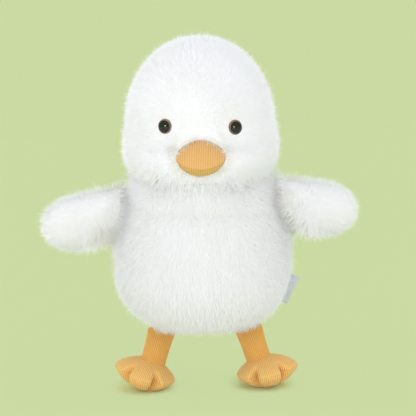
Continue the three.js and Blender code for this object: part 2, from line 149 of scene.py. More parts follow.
def in_order(shape):
    """The same shape with its faces in a fixed order, which the sphere and spin operators don't keep."""
    shape.verts.index_update()
    outlines = []
    for face in shape.faces:
        outline = [vertex.index for vertex in face.verts]
        first = outline.index(min(outline))
        outlines.append(outline[first:] + outline[:first])
    ordered = bmesh.new()
    vertices = [ordered.verts.new(vertex.co) for vertex in shape.verts]
    for outline in sorted(outlines):
        ordered.faces.new([vertices[index] for index in outline])
    ordered.verts.index_update()
    ordered.normal_update()
    shape.free()
    return ordered


def finished(name, shape, *materials):
    """A bmesh as a smooth object at the origin, its doubles merged and its faces pointing out."""
    bmesh.ops.remove_doubles(shape, verts=shape.verts, dist=1e-6)
    bmesh.ops.recalc_face_normals(shape, faces=shape.faces)
    mesh = bpy.data.meshes.new(name)
    shape.to_mesh(mesh)
    shape.free()
    for material in materials:
        mesh.materials.append(material)
    mesh.shade_smooth()
    made = bpy.data.objects.new(name, mesh)
    bpy.context.collection.objects.link(made)
    return made


def fabric(name, roughness, sheen=0.0, specular=0.2):
    """A material with its Principled shader and its links, ready for its pattern."""
    material = bpy.data.materials.new(name)
    material.use_nodes = True
    shader = material.node_tree.nodes["Principled BSDF"]
    shader.inputs["Roughness"].default_value = roughness
    shader.inputs["Specular IOR Level"].default_value = specular
    shader.inputs["Sheen Weight"].default_value = sheen
    shader.inputs["Sheen Roughness"].default_value = 0.5
    return material, material.node_tree.nodes, material.node_tree.links, shader


def ramp(nodes, *stops):
    """A colour ramp with its stops as (place, colour) pairs."""
    made = nodes.new("ShaderNodeValToRGB")
    elements = made.color_ramp.elements
    for index, (place, colour) in enumerate(stops):
        element = elements[index] if index < 2 else elements.new(place)
        element.position = place
        element.color = (*colour, 1)
    return made


undercoat, nodes, links, shader = fabric("undercoat", 1.0)
where = nodes.new("ShaderNodeTexCoord")
fibres = nodes.new("ShaderNodeTexNoise")
fibres.inputs["Scale"].default_value = 900
fibres.inputs["Detail"].default_value = 3
shades = ramp(nodes, (0.3, (0.93, 0.93, 0.93)), (0.7, (0.98, 0.98, 0.98)))
links.new(where.outputs["Object"], fibres.inputs["Vector"])
links.new(fibres.outputs["Fac"], shades.inputs["Fac"])
links.new(shades.outputs["Color"], shader.inputs["Base Color"])


neck_fill = 0.018  # the front of the neck is filled out, so that the chin runs into the chest
neck_fill_reach = 0.028


def stuffed(name, form, keep_above=None, keep_below=None):
    """A stuffed form of backing cloth, cut off flat and closed at a height above or below it."""
    shape = bmesh.new()
    bmesh.ops.create_icosphere(shape, subdivisions=6, radius=1)
    away = corners_of(shape)
    points = filled(form, away) + form.centre
    neck = np.clip(1 - np.abs(points[:, 2] - neck_z) / neck_fill_reach, 0, 1)
    points[:, 1] -= neck_fill * neck * np.clip(-away[:, 1] * 1.2, 0, 1)
    move_to(shape, points)
    for height, normal in ((keep_above, (0, 0, -1)), (keep_below, (0, 0, 1))):
        if height is None:
            continue
        cut = bmesh.ops.bisect_plane(shape, geom=shape.verts[:] + shape.edges[:] + shape.faces[:],
                                     plane_co=(0, 0, height), plane_no=normal, clear_outer=True)
        rim = [edge for edge in cut["geom_cut"] if isinstance(edge, bmesh.types.BMEdge)]
        bmesh.ops.holes_fill(shape, edges=rim)
    return finished(name, shape, undercoat)


head_cloth = stuffed("head_cloth", smaller(head_form, head_undercoat_depth), keep_above=neck_z + 0.0002)
body_cloth = stuffed("body_cloth", smaller(body_form, undercoat_depth), keep_below=neck_z - 0.0002)
for cloth, node in ((head_cloth, "head_stuffing"), (body_cloth, "body_stuffing")):
    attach(cloth, "torso")
    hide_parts(node)


# Long pile on head and body: soft white acrylic fibres, combed after sewing. Each strand stands for
# a lock of a few fibres. It is a three-sided spike with its flat side outwards, and neighbours lean
# together towards the middle of their tuft.
white_pile, nodes, links, shader = fabric("white_pile", 0.9, sheen=0.3)
strand_map = nodes.new("ShaderNodeUVMap")
strand_map.uv_map = "OFBake"
split = nodes.new("ShaderNodeSeparateXYZ")
# The tan low end of this tint ramp is painted shade. The random tints stay above 0.25, and only tints lowered
# by painted shade reach it.
tint = ramp(nodes, (0, (0.80, 0.77, 0.67)), (0.25, (0.955, 0.955, 0.945)), (1, (0.985, 0.985, 0.99)))
# Each strand is painted a little darker towards its root: painted shade deep in the pile.
root_shade = ramp(nodes, (0, (0.96, 0.955, 0.945)), (0.5, (1, 1, 1)))
dye = nodes.new("ShaderNodeMix")
dye.data_type = "RGBA"
dye.blend_type = "MULTIPLY"
dye.inputs["Factor"].default_value = 1
links.new(strand_map.outputs["UV"], split.inputs["Vector"])
links.new(split.outputs["X"], tint.inputs["Fac"])
links.new(split.outputs["Y"], root_shade.inputs["Fac"])
links.new(tint.outputs["Color"], dye.inputs["A"])
links.new(root_shade.outputs["Color"], dye.inputs["B"])
links.new(dye.outputs["Result"], shader.inputs["Base Color"])


def unit(rows):
    return rows / np.maximum(np.linalg.norm(rows, axis=-1), 1e-12)[..., None]


def ripple(points, size, seed):
    """A smooth wandering value, mostly between -1 and 1, whose waves are about size across."""
    rng = np.random.default_rng(seed)
    value = np.zeros(len(points))
    for _ in range(6):
        way = rng.normal(size=3)
        way *= 2 * math.pi / size / np.linalg.norm(way) * rng.uniform(0.7, 1.3)
        value += np.sin(points @ way + rng.uniform(0, 2 * math.pi))
    return value / 3


def rooted(cloth, per_square_metre, seed):
    """Places spread evenly over a piece of cloth, and which way the cloth faces there."""
    mesh = cloth.data
    mesh.calc_loop_triangles()
    corners = np.array([t.vertices for t in mesh.loop_triangles])
    points = np.array([v.co for v in mesh.vertices])
    facing = np.array([v.normal for v in mesh.vertices])
    a, b, c = (points[corners[:, i]] for i in range(3))
    area = np.linalg.norm(np.cross(b - a, c - a), axis=1) / 2
    rng = np.random.default_rng(seed)
    count = int(area.sum() * per_square_metre)
    reach = (np.arange(count) + rng.random(count)) / count * area.sum()
    chosen = corners[np.minimum(np.searchsorted(np.cumsum(area), reach), len(corners) - 1)]
    u, v = rng.random(count), rng.random(count)
    u, v = np.where(u + v > 1, 1 - u, u), np.where(u + v > 1, 1 - v, v)
    share = np.stack([1 - u - v, u, v], 1)[:, :, None]
    return (points[chosen] * share).sum(1), unit((facing[chosen] * share).sum(1)), rng


def tufted(roots, tuft_size, tall, per_square_metre, rng):
    """For each root, the middle of the tuft that it belongs to. A tuft is as wide as its size and taller."""
    count = max(1, int(len(roots) / (per_square_metre * tuft_size**2 * tall)))
    middles = roots[rng.choice(len(roots), count, replace=False)]
    flat = np.array((1, 1, 1 / tall))
    tree = kdtree.KDTree(count)
    for index, middle in enumerate(middles * flat):
        tree.insert(middle, index)
    tree.balance()
    return middles[[tree.find(root)[1] for root in roots * flat]]


bend_share = 0.5  # where along its length a strand bends over
strand_faces = [(0, 1, 2), (1, 0, 3, 4), (2, 1, 4, 5), (0, 2, 5, 3), (4, 3, 6), (5, 4, 6), (3, 5, 6)]
face_sides = (None, 0, -1, 1, 0, -1, 1)  # a strand's flat side is 0, and the other two are -1 and 1


def strands(roots, facing, combed, length, lean, width, pull, rng):
    """The strands' corners, three at the root, three at the bend and the tip, and how each face is lit."""
    combed = unit(combed - facing * (combed * facing).sum(1)[:, None])
    way_a = facing * np.cos(lean * 0.6)[:, None] + combed * np.sin(lean * 0.6)[:, None]
    way_b = facing * np.cos(lean * 1.2)[:, None] + combed * np.sin(lean * 1.2)[:, None]
    bend = roots + way_a * (length * bend_share)[:, None] + pull * 0.35
    tip = bend + way_b * (length * (1 - bend_share))[:, None] + pull * 0.65
    turn = rng.normal(0, 0.3, len(roots))
    rows, frames = [], []
    for at, middle, along in ((0, roots, bend - roots), (bend_share, bend, tip - roots)):
        along = unit(along)
        outward = unit(facing - along * (facing * along).sum(1)[:, None])
        across = np.cross(along, outward)
        turned_out = outward * np.cos(turn)[:, None] + across * np.sin(turn)[:, None]
        turned_across = np.cross(along, turned_out)
        half = (width / 2 * (1 if at == 0 else 0.8))[:, None]
        frames.append((turned_out, turned_across, along))
        rows += [middle + turned_across * half, middle - turned_across * half, middle - turned_out * half * 0.9]
    rows.append(tip)
    lights = []
    for face, side in zip(strand_faces, face_sides):
        for corner in face:
            out, across, along = frames[0 if corner < 3 else 1]
            if side is None:
                lights.append(-along)
            elif side == 0:
                lights.append(facing * 0.85 + out * 0.25 + across * (0.12, -0.12, 0)[corner % 3] * (corner < 6))
            else:
                lights.append(across * side * 0.85 + facing * 0.35)
    return np.stack(rows, 1), unit(np.stack(lights, 1))


def pile_mesh(name, corners, lights, tints):
    """One mesh of many strands, its map holding each strand's tint and height."""
    count = len(corners)
    mesh = bpy.data.meshes.new(name)
    loops = np.concatenate([np.array(face) for face in strand_faces])
    sizes = np.array([len(face) for face in strand_faces])
    totals = np.tile(sizes, count)
    mesh.vertices.add(count * 7)
    mesh.vertices.foreach_set("co", corners.reshape(-1))
    mesh.loops.add(count * len(loops))
    mesh.loops.foreach_set("vertex_index", (np.arange(count)[:, None] * 7 + loops[None]).ravel())
    mesh.polygons.add(len(totals))
    mesh.polygons.foreach_set("loop_start", np.concatenate([[0], np.cumsum(totals)[:-1]]))
    mesh.update(calc_edges=True)
    height = np.array([0, 0, 0, bend_share, bend_share, bend_share, 1.0])
    column = np.array([-1, 1, 0, -1, 1, 0, 0]) * 0.004
    u = tints[:, None] + column[loops][None]
    v = np.broadcast_to(0.02 + 0.96 * height[loops][None], u.shape)
    layer = mesh.uv_layers.new(name="OFBake")
    layer.data.foreach_set("uv", np.stack([u, v], 2).reshape(-1).astype(np.float32))
    mesh.materials.append(white_pile)
    mesh.shade_smooth()
    mesh.normals_split_custom_set(lights.reshape(-1, 3))
    made = bpy.data.objects.new(name, mesh)
    bpy.context.collection.objects.link(made)
    return made


def grow_pile(cloth, panels, density, seed, comb, length, lean, width=0.0003, tuft_size=0.006, tall=1,
              gather=0.3, keep=None, stray=0.3, loose=0.06, pressed=None, painted_shade=None):
    """Grows the pile on a cloth form and parts it into its sewn panels. Comb, length and lean take the
    roots and which way the cloth faces there. Where two furs are pressed together, the pile is squeezed
    out to the front and to the back. Painted shade, where given, lowers the strands' tints towards tan:
    painted shade in the creases between parts and round the beak."""
    roots, facing, rng = rooted(cloth, density, seed)
    if keep is not None:
        held = keep(roots, facing)
        roots, facing = roots[held], facing[held]
    if pressed is not None:
        squeezed = pressed(roots) * np.clip((roots[:, 1] - seam_y) / 0.004, -1, 1)
        facing = unit(facing + np.stack([0 * squeezed, squeezed, 0 * squeezed], 1))
    count = len(roots)
    combed = unit(comb(roots, facing)) + rng.normal(0, stray, (count, 3))
    middles = tufted(roots, tuft_size, tall, density, rng)
    is_loose = rng.random(count) < loose
    lengths = length(roots, facing) * rng.uniform(0.7, 1.2, count) * np.where(is_loose, 1.35, 1)
    leans = (lean(roots, facing) + rng.normal(0, 0.16, count)) * np.where(is_loose, 0.6, 1)
    pull = (middles - roots) * gather * (1, 1, 1 / tall)
    corners, lights = strands(roots, facing, combed, lengths, np.clip(leans, 0.05, 1.3),
                              width * rng.uniform(0.7, 1.2, count), pull, rng)
    tints = 0.5 + 0.25 * ripple(roots, 0.05, seed + 1) + rng.normal(0, 0.12, count)
    tints = np.maximum(tints, 0.25)
    # Painted shade: here the tints are lowered towards the tan end of the tint ramp.
    if painted_shade is not None:
        tints = tints - painted_shade(roots) * 0.5 * (1 + rng.random(count))
    tints = np.clip(tints, 0.01, 0.99)
    made = []
    for name, (node, body, inside) in panels.items():
        mine = inside(roots)
        pile = pile_mesh(name, corners[mine], lights[mine], tints[mine])
        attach(pile, body)
        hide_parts(node)
        made.append(pile)
    return made


def quarters(part):
    """The four sewn panels of the head or of the body."""
    found = {}
    for face, fore in (("front", -1), ("back", 1)):
        for side, hand in (("left", 1), ("right", -1)):
            def inside(roots, fore=fore, hand=hand):
                return ((roots[:, 1] - seam_y) * fore >= 0) & ((roots[:, 0] - middle_x) * hand > 0)

            found[f"{part}_pile_{face}_{side}"] = (f"{part}_{face}_{side}", "torso", inside)
    return found


def level(value):
    return lambda roots, facing: np.full(len(roots), value)


eye_radius = 0.0062
beak_low, beak_high = span("beak_upper", "beak_lower")
beak_middle = np.array((beak_low + beak_high) / 2)
beak_corner_z = neck_z + 0.0225
face_middle = np.array((middle_x, head_low.y, 0.206))


def near(roots, place, reach):
    return np.exp(-((np.linalg.norm(roots - place, axis=1) / reach) ** 2))


neck_reach = 0.018  # the pile is longer and hangs over the neck seam this far from it


def at_neck(roots):
    """How near the neck seam a root is, from 1 at the seam to 0 well away from it."""
    return np.clip(1 - np.abs(roots[:, 2] - neck_z) / neck_reach, 0, 1)


def head_comb(roots, facing):
    """Out from the middle of the face, away from each eye, over the beak's top edge, and down at the neck."""
    off = roots - face_middle
    way = off / (np.linalg.norm(off, axis=1) + 0.012)[:, None] + np.array((0, 0, -0.35))
    for eye in eye_middles:
        way = way + unit(roots - eye) * 2.5 * near(roots, eye, 0.011)[:, None]
    off = (roots - beak_middle) * (1, 0, 1)
    from_edge = np.linalg.norm(off, axis=1) - 0.014
    over = np.where(roots[:, 2] > beak_corner_z + 0.002, -1.4, 1.5) * (roots[:, 1] < seam_y)
    way = way + unit(off) * (over * np.exp(-((from_edge / 0.005) ** 2)))[:, None]
    return way + np.array((0, 0, -2)) * at_neck(roots)[:, None]


def head_length(roots, facing):
    short = sum(near(roots, eye, 0.009) for eye in eye_middles)
    short = short + near(roots, beak_middle, 0.02) * np.where(roots[:, 2] < beak_corner_z, 1, -0.8)
    return 0.0062 * (1 - 0.45 * np.clip(short, -0.6, 1)) + 0.006 * at_neck(roots)


def head_lean(roots, facing):
    by_eyes = sum(near(roots, eye, 0.010) for eye in eye_middles)
    return 0.6 + 0.25 * at_neck(roots) + 0.25 * by_eyes


def clear_of_eyes(roots, facing):
    """No pile grows through an eye, seen along the way that the eye faces."""
    free = roots[:, 2] > neck_z + 0.0005
    for eye in eye_middles:
        out = np.array((eye[0] - middle_x, eye[1] - seam_y - 0.005, 0))
        out = out / np.linalg.norm(out)
        off = roots - eye
        off = off - out * (off @ out)[:, None]
        free &= (np.linalg.norm(off * (1.1, 1, 1), axis=1) > eye_radius + 0.0008) | (roots[:, 1] > seam_y)
    return free


def round_beak(roots):
    """How near a root is to the edge of the beak, from 1 on it to 0 well away from it."""
    off = np.linalg.norm((roots - beak_middle)[:, [0, 2]] / (0.021, 0.0135), axis=1) - 1
    return np.exp(-((off / 0.25) ** 2)) * (roots[:, 1] < seam_y)


# Round the beak's edge the tints are lowered: painted shade where the fur meets the beak.
grow_pile(head_cloth, quarters("head"), 1.35e6, 11, head_comb, head_length, head_lean,
          tuft_size=0.004, gather=0.14, stray=0.35, keep=clear_of_eyes, loose=0.12,
          painted_shade=lambda roots: 0.6 * round_beak(roots))


def joint_place(name):
    found = next(joint for joint in frame["joints"] if joint["name"] == name)
    return Vector(found["pos_m"])


def joint_axis(name):
    return Vector(next(joint for joint in frame["joints"] if joint["name"] == name)["axis"])


wing_roots = [np.array(joint_place(f"wing_{side}_swing")) for side in ("left", "right")]


def beside_wings(roots):
    """How near a root is to one of the two seams where the wings are sewn on, from 1 to 0."""
    off = [np.hypot(roots[:, 0] - root[0], roots[:, 1] - root[1]) for root in wing_roots]
    tall = [np.abs(roots[:, 2] - root[2]) for root in wing_roots]
    return sum(np.clip(1 - across / 0.024, 0, 1) * np.clip((0.036 - high) / 0.012, 0, 1)
               for across, high in zip(off, tall))


label_middle = np.array((middle_x + 0.0699, seam_y - 0.001, 0.0845))


leg_tops = [np.array(joint_place(f"leg_{side}_swing")) + (0, -0.012, 0.004) for side in ("left", "right")]


def body_comb(roots, facing):
    """Down, parted a little at the seam down the middle of the front, and out over the shoulders."""
    across = roots[:, 0] - middle_x
    parting = np.sign(across) * np.exp(-((across / 0.005) ** 2)) * 0.25
    shoulder = np.clip((np.abs(across) - 0.035) / 0.015, 0, 1)
    shoulder = shoulder * np.clip(1 - (neck_z - roots[:, 2]) / 0.022, 0, 1)
    return np.stack([parting + np.sign(across) * shoulder * 1.5, np.full(len(roots), -0.05), shoulder - 1.0], 1)


def body_length(roots, facing):
    low = np.clip((0.070 - roots[:, 2]) / 0.02, 0, 1)
    over_legs = sum(near(roots, hip, 0.014) for hip in leg_tops)
    full = 0.0080 - 0.002 * low + 0.006 * beside_wings(roots) + 0.005 * at_neck(roots) + 0.006 * over_legs
    return full * (1 - 0.7 * near(roots, label_middle, 0.015)) * (1 - 0.2 * np.clip(-facing[:, 2], 0, 1))


def body_lean(roots, facing):
    return 0.75 - 0.4 * at_neck(roots) - 0.4 * beside_wings(roots)


# Beside the wing seams the tints are lowered: painted shade in the crease between body and wing.
grow_pile(body_cloth, quarters("body"), 1.3e6, 12, body_comb, body_length, body_lean, tuft_size=0.003,
          tall=4, gather=0.25, stray=0.2, keep=lambda p, n: p[:, 2] < neck_z - 0.0005,
          pressed=lambda roots: 1.2 * beside_wings(roots), painted_shade=lambda roots: 0.45 * beside_wings(roots) ** 2)


# Wings: a front and a back panel of the same fur, lightly filled, and sewn flat into the side seam
# so that they swing there. They swell from the seam to a round tip.
def limb_skin(limb, directions):
    """Directions from a ball's centre moved to a sewn limb's skin. The limb runs along +X."""
    whole = limb.length - limb.start + limb.seam_half_thickness
    past = whole * (1 + directions[:, 0]) / 2
    along = limb.start - limb.seam_half_thickness + past
    swollen = np.sin(math.pi / 2 * np.clip((along - limb.start) / limb.swell, 0, 1))
    into_tip = np.maximum(0, along - (limb.length - limb.tip_round)) / limb.tip_round
    tip = np.sqrt(np.maximum(0, 1 - into_tip**2))
    into_corner = np.minimum(1, past / limb.corner)
    corner = limb.corner * (1 - np.sqrt(into_corner * (2 - into_corner)))
    rolled_back = np.minimum(0, along - limb.start)
    edge = np.sqrt(np.maximum(0, limb.seam_half_thickness**2 - rolled_back**2))
    half_width = (limb.seam_half + (limb.half_width - limb.seam_half) * swollen - corner) * tip
    half_thickness = (edge + (limb.half_thickness - edge) * swollen) * tip
    around = np.maximum(np.hypot(directions[:, 1], directions[:, 2]), 1e-9)
    y = half_thickness * directions[:, 1] / around
    z = half_width * directions[:, 2] / around
    lean = limb.slant * z * (1 - np.clip(along / limb.length, 0, 1))
    return np.stack([along + lean, y, z], 1)


def thinner(limb, depth):
    made = SimpleNamespace(**vars(limb))
    for size in ("length", "seam_half", "half_width", "half_thickness", "seam_half_thickness", "corner"):
        setattr(made, size, max(getattr(limb, size) - depth, 0.001))
    return made


def limb_ball(around, rings):
    """A ball whose poles lie on the X axis, ready to be drawn out into a limb."""
    shape = bmesh.new()
    bmesh.ops.create_uvsphere(shape, u_segments=around, v_segments=rings, radius=1,
                              matrix=Matrix.Rotation(math.pi / 2, 4, "Y"))
    return in_order(shape)


def mirrored(points, side):
    """Points of the toy's left side, or the same on its right."""
    made = np.array(points)
    made[:, 0] = middle_x + (made[:, 0] - middle_x) * side
    return made


wing_limb = SimpleNamespace(start=0, length=0, seam_half=0.027, half_width=0.026, half_thickness=0.020,
                            seam_half_thickness=0.005, corner=0.005, swell=0.004, tip_round=0.027, slant=0)

root_reach = 0.035  # how far out from its seam a wing is drawn by it
body_round = 0.072  # how round the body is where the wing's root is wrapped round it
wrap = 1.7
root_sink = 0.002
shoulder_rise, armpit_drop = 0.001, 0.008  # how much taller the sewn edge is than the wing

for side, hand, wing_limb.length, droop in (("left", 1, 0.061, math.radians(5.5)),
                                            ("right", -1, 0.0655, math.radians(9))):
    wing_limb.slant = -math.tan(math.asin(joint_axis(f"wing_{side}_swing").x) + droop)
    hang = np.array(Matrix.Rotation(droop, 3, "Y"))
    hinge = np.array(joint_place(f"wing_{side}_swing"))
    root = np.array((middle_x + abs(hinge[0] - middle_x), hinge[1], hinge[2]))
    shape = limb_ball(64, 48)
    skin = limb_skin(thinner(wing_limb, undercoat_depth + 0.001), corners_of(shape))
    sewn = 0.5 + 0.5 * np.cos(math.pi * np.clip(skin[:, 0] / root_reach, 0, 1))
    taller = np.where(skin[:, 2] > 0, shoulder_rise, armpit_drop)
    skin[:, 2] += sewn**2 * taller * np.clip(np.abs(skin[:, 2]) / 0.02, 0, 1)
    skin[:, 1] *= 1 + 0.15 * sewn
    curve = body_round - body_round * np.sqrt(1 - np.clip(skin[:, 1] / 0.050, -0.95, 0.95) ** 2)
    skin[:, 0] -= root_sink * sewn + wrap * sewn * curve
    move_to(shape, mirrored(skin @ hang.T + root, hand))
    cloth = finished(f"wing_{side}_cloth", shape, undercoat)
    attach(cloth, f"wing_{side}")
    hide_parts(f"wing_{side}_stuffing")
    outward = np.array((hand * math.cos(droop), 0, -math.sin(droop)))

    def at_root(roots, root=root, hand=hand, slant=wing_limb.slant):
        """How near a root is to the sewn edge, from 1 on it to 0 where the wing is full."""
        off = mirrored(roots, hand) - root
        return 0.5 + 0.5 * np.cos(math.pi * np.clip((off[:, 0] - slant * off[:, 2]) / 0.028, 0, 1))

    def wing_comb(roots, facing, outward=outward):
        """Outward along the wing, turning down and back to the body near the seam."""
        turned = (0.12 + 0.75 * at_root(roots)[:, None]) * math.pi
        return outward * np.cos(turned) + np.array((0, 0, -1.0)) * np.sin(turned)

    def wing_length(roots, facing):
        return 0.0078 + 0.005 * at_root(roots)

    def clear_of_body(roots, facing):
        """No pile grows on the part of the root that lies inside the body."""
        off = roots - body_form.centre
        return np.linalg.norm(off, axis=1) > np.linalg.norm(filled(body_form, off), axis=1) - 0.003

    halves = {f"wing_{side}_pile_{face}": (f"wing_{side}_{face}", f"wing_{side}",
                                          lambda p, fore=fore: (p[:, 1] - seam_y) * fore >= 0)
              for face, fore in (("front", -1), ("back", 1))}
    # Near the sewn root the tints are lowered: painted shade where the wing meets the body.
    grow_pile(cloth, halves, 1.3e6, 21 + hand, wing_comb, wing_length, level(0.7),
              tuft_size=0.004, gather=0.25, stray=0.4, keep=clear_of_body,
              pressed=lambda roots, at_root=at_root: 1.5 * at_root(roots),
              painted_shade=lambda roots, at_root=at_root: 0.35 * at_root(roots) ** 2)


# Tail: a small pad of shorter fur low on the back, sewn on and turned up a little.
tail_limb = SimpleNamespace(start=0, length=0.044, seam_half=0.017, half_width=0.017, half_thickness=0.010,
                            seam_half_thickness=0.006, corner=0.006, swell=0.030, tip_round=0.022, slant=0)
tail_rise = math.radians(28)
tail_root = np.array((middle_x, seam_y + 0.047638, 0.093))
tail_axes = np.array([(0, math.cos(tail_rise), math.sin(tail_rise)),
                      (0, -math.sin(tail_rise), math.cos(tail_rise)), (1, 0, 0)])
shape = limb_ball(40, 28)
move_to(shape, limb_skin(thinner(tail_limb, undercoat_depth), corners_of(shape)) @ tail_axes + tail_root)
tail_cloth = finished("tail_cloth", shape, undercoat)
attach(tail_cloth, "torso")
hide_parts("tail_stuffing")
grow_pile(tail_cloth, {
    "tail_pile_upper": ("tail_upper", "torso", lambda p: (p - tail_root) @ tail_axes[1] >= 0),
    "tail_pile_lower": ("tail_lower", "torso", lambda p: (p - tail_root) @ tail_axes[1] < 0),
}, 1.1e6, 31, lambda p, n: np.tile(tail_axes[0], (len(p), 1)), level(0.006), level(0.8),
    keep=lambda p, n: (p - tail_root) @ tail_axes[0] > 0.013)


# Eyes: moulded black domes with a thin brown rim, each on a shank through the face. A plastic
# washer, pushed on behind the cloth, holds the shank for good.
eye_plastic, nodes, links, shader = fabric("eye_plastic", 0.03, specular=0.5)
dome_map = nodes.new("ShaderNodeUVMap")
dome_map.uv_map = "OFBake"
from_middle = nodes.new("ShaderNodeVectorMath")
from_middle.operation = "DISTANCE"
from_middle.inputs[1].default_value = (0.5, 0.5, 0)
eye_colours = ramp(nodes, (0.38, (0.005, 0.005, 0.005)), (0.41, (0.18, 0.095, 0.068)),
                   (0.48, (0.25, 0.15, 0.12)))
links.new(dome_map.outputs["UV"], from_middle.inputs[0])
links.new(from_middle.outputs["Value"], eye_colours.inputs["Fac"])
links.new(eye_colours.outputs["Color"], shader.inputs["Base Color"])

eye_rim = 0.0016
dome_height = 0.0042
eye_facing = math.radians(12)
eye_width = 0.9  # of its height
eye_seat = np.array((middle_x + 0.0282, seam_y - 0.043747, 0.2275))
for side, hand in (("left", 1), ("right", -1)):
    shape = bmesh.new()
    profile = [(0, -0.003), (0.0023, -0.003), (0.0023, 0), (eye_radius - 0.0004, 0), (eye_radius, 0.0005),
               (eye_radius, eye_rim)]
    profile += [(eye_radius * math.cos(a), eye_rim + dome_height * math.sin(a))
                for a in np.radians(np.arange(7.5, 90.1, 7.5))]
    chain = [shape.verts.new((r, 0, h)) for r, h in profile]
    edges = [shape.edges.new(pair) for pair in zip(chain, chain[1:])]
    bmesh.ops.spin(shape, geom=chain + edges, axis=(0, 0, 1), cent=(0, 0, 0), steps=48, angle=2 * math.pi,
                   use_merge=True)
    shape = in_order(shape)
    layer = shape.loops.layers.uv.new("OFBake")
    for face in shape.faces:
        for loop in face.loops:
            x, y, z = loop.vert.co
            if z > 0.0004:
                loop[layer].uv = (0.5 + 0.49 * x / eye_radius, 0.5 + 0.49 * y / eye_radius)
            else:
                loop[layer].uv = (0.5 + 0.499 * (x or 1e-5) / max(1e-5, math.hypot(x, y)),
                                  0.5 + 0.499 * y / max(1e-5, math.hypot(x, y)))
    face_out = np.array(Matrix.Rotation(eye_facing, 3, "Z") @ Matrix.Rotation(math.pi / 2, 3, "X"))
    points = corners_of(shape) * (eye_width, 1, 1) @ face_out.T + eye_seat + (0, 0, eye_offset[side])
    move_to(shape, mirrored(points, hand))
    eye = finished(f"eye_dome_{side}", shape, eye_plastic)
    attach(eye, "torso")
    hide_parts(f"eye_{side}")

washer_plastic, nodes, links, shader = fabric("washer_plastic", 0.45, specular=0.4)
where = nodes.new("ShaderNodeTexCoord")
flow = nodes.new("ShaderNodeTexNoise")
flow.inputs["Scale"].default_value = 260
shades = ramp(nodes, (0.3, (0.78, 0.77, 0.72)), (0.7, (0.86, 0.85, 0.81)))
links.new(where.outputs["Object"], flow.inputs["Vector"])
links.new(flow.outputs["Fac"], shades.inputs["Fac"])
links.new(shades.outputs["Color"], shader.inputs["Base Color"])
for side in ("left", "right"):
    washer = frame["nodes"][f"eye_washer_{side}"]
    washer.data.materials.clear()
    washer.data.materials.append(washer_plastic)


# Beak: a stuffed pad of fine ribbed knit in two panels, whose front seam droops below its corners.
def knit_fabric(name, light, hollow_shade, rib_pitch, along_pitch):
    """Ribbed knit: its map holds millimetres across the ribs and along them. Its colour is painted
    darker in the hollows between ribs and stitches, where the bump is low: painted shade.
    """
    material, nodes, links, shader = fabric(name, 0.95, sheen=0.1)
    knit_map = nodes.new("ShaderNodeUVMap")
    knit_map.uv_map = "knit"
    split = nodes.new("ShaderNodeSeparateXYZ")
    links.new(knit_map.outputs["UV"], split.inputs["Vector"])
    waves = []
    for output, pitch in (("X", rib_pitch), ("Y", along_pitch)):
        turn = nodes.new("ShaderNodeMath")
        turn.operation = "MULTIPLY"
        turn.inputs[1].default_value = 2 * math.pi / pitch
        wave = nodes.new("ShaderNodeMath")
        wave.operation = "COSINE"
        links.new(split.outputs[output], turn.inputs[0])
        links.new(turn.outputs["Value"], wave.inputs[0])
        waves.append(wave)
    raised = nodes.new("ShaderNodeMath")
    raised.operation = "MULTIPLY_ADD"
    raised.inputs[1].default_value = 0.3
    links.new(waves[1].outputs["Value"], raised.inputs[0])
    links.new(waves[0].outputs["Value"], raised.inputs[2])
    spread = nodes.new("ShaderNodeMapRange")
    spread.inputs["From Min"].default_value = -1.3
    spread.inputs["From Max"].default_value = 1.3
    links.new(raised.outputs["Value"], spread.inputs["Value"])
    # Painted shade: the low places of the knit get the darker colour, so the hollows are painted darker.
    shades = ramp(nodes, (0.15, hollow_shade), (0.6, light))
    links.new(spread.outputs["Result"], shades.inputs["Fac"])
    links.new(shades.outputs["Color"], shader.inputs["Base Color"])
    bump = nodes.new("ShaderNodeBump")
    bump.inputs["Strength"].default_value = 0.3
    bump.inputs["Distance"].default_value = 0.0003
    links.new(spread.outputs["Result"], bump.inputs["Height"])
    links.new(bump.outputs["Normal"], shader.inputs["Normal"])
    return material


def knit_uv(shape, across, along):
    """Writes a knit map from two values per vertex, in millimetres."""
    layer = shape.loops.layers.uv.new("knit")
    for face in shape.faces:
        for loop in face.loops:
            loop[layer].uv = (across[loop.vert.index], along[loop.vert.index])


def ribbed(shape, points, ribs, depth):
    """Raises the ribs of a knit surface. Ribs counts them across it, and they fade at its sewn edge."""
    fade = np.clip(np.abs(corners_of(shape)[:, 2]) / 0.08, 0, 1)
    move_to(shape, points)
    shape.normal_update()
    out = np.array([v.normal for v in shape.verts])
    return points + out * (depth * fade * np.cos(2 * math.pi * ribs))[:, None]


# The lower panel is the same knit, coloured darker and greener: painted shade under the beak, with painted
# green bounce light from the floor.
beak_knits = {"upper": knit_fabric("beak_knit", (0.74, 0.43, 0.155), (0.52, 0.28, 0.085), 1.4, 1.1),
              "lower": knit_fabric("beak_knit_under_painted_shade", (0.67, 0.42, 0.12), (0.42, 0.26, 0.06), 1.4, 1.1)}
beak_form = ball_form((0, 0, 0), 0.0205, 0.026, 0.026, 0.0126, 0.0142, 1.5, 1.8)
beak_root = np.array((middle_x, seam_y - 0.051876, beak_corner_z))
beak_turn = np.array(Matrix.Rotation(math.radians(23), 3, "X"))
for part, sign, others in (("upper", 1, ["beak_stuffing"]), ("lower", -1, [])):
    shape = limb_ball(96, 180)
    bmesh.ops.bisect_plane(shape, geom=shape.verts[:] + shape.edges[:] + shape.faces[:], dist=1e-6,
                           plane_co=(0, 0, 0.002 * sign), plane_no=(0, 0, -sign), clear_outer=True)
    rim = [edge for edge in shape.edges if edge.is_boundary]
    bmesh.ops.holes_fill(shape, edges=rim)
    shape.verts.index_update()
    points = filled(beak_form, corners_of(shape))
    knit_uv(shape, points[:, 0] * 1000, points[:, 1] * 1000)
    points = ribbed(shape, points, points[:, 0] / 0.0014, 0.00018)
    move_to(shape, points @ beak_turn.T + beak_root)
    beak = finished(f"beak_knit_{part}", shape, beak_knits[part])
    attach(beak, "torso")
    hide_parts(f"beak_{part}", *others)


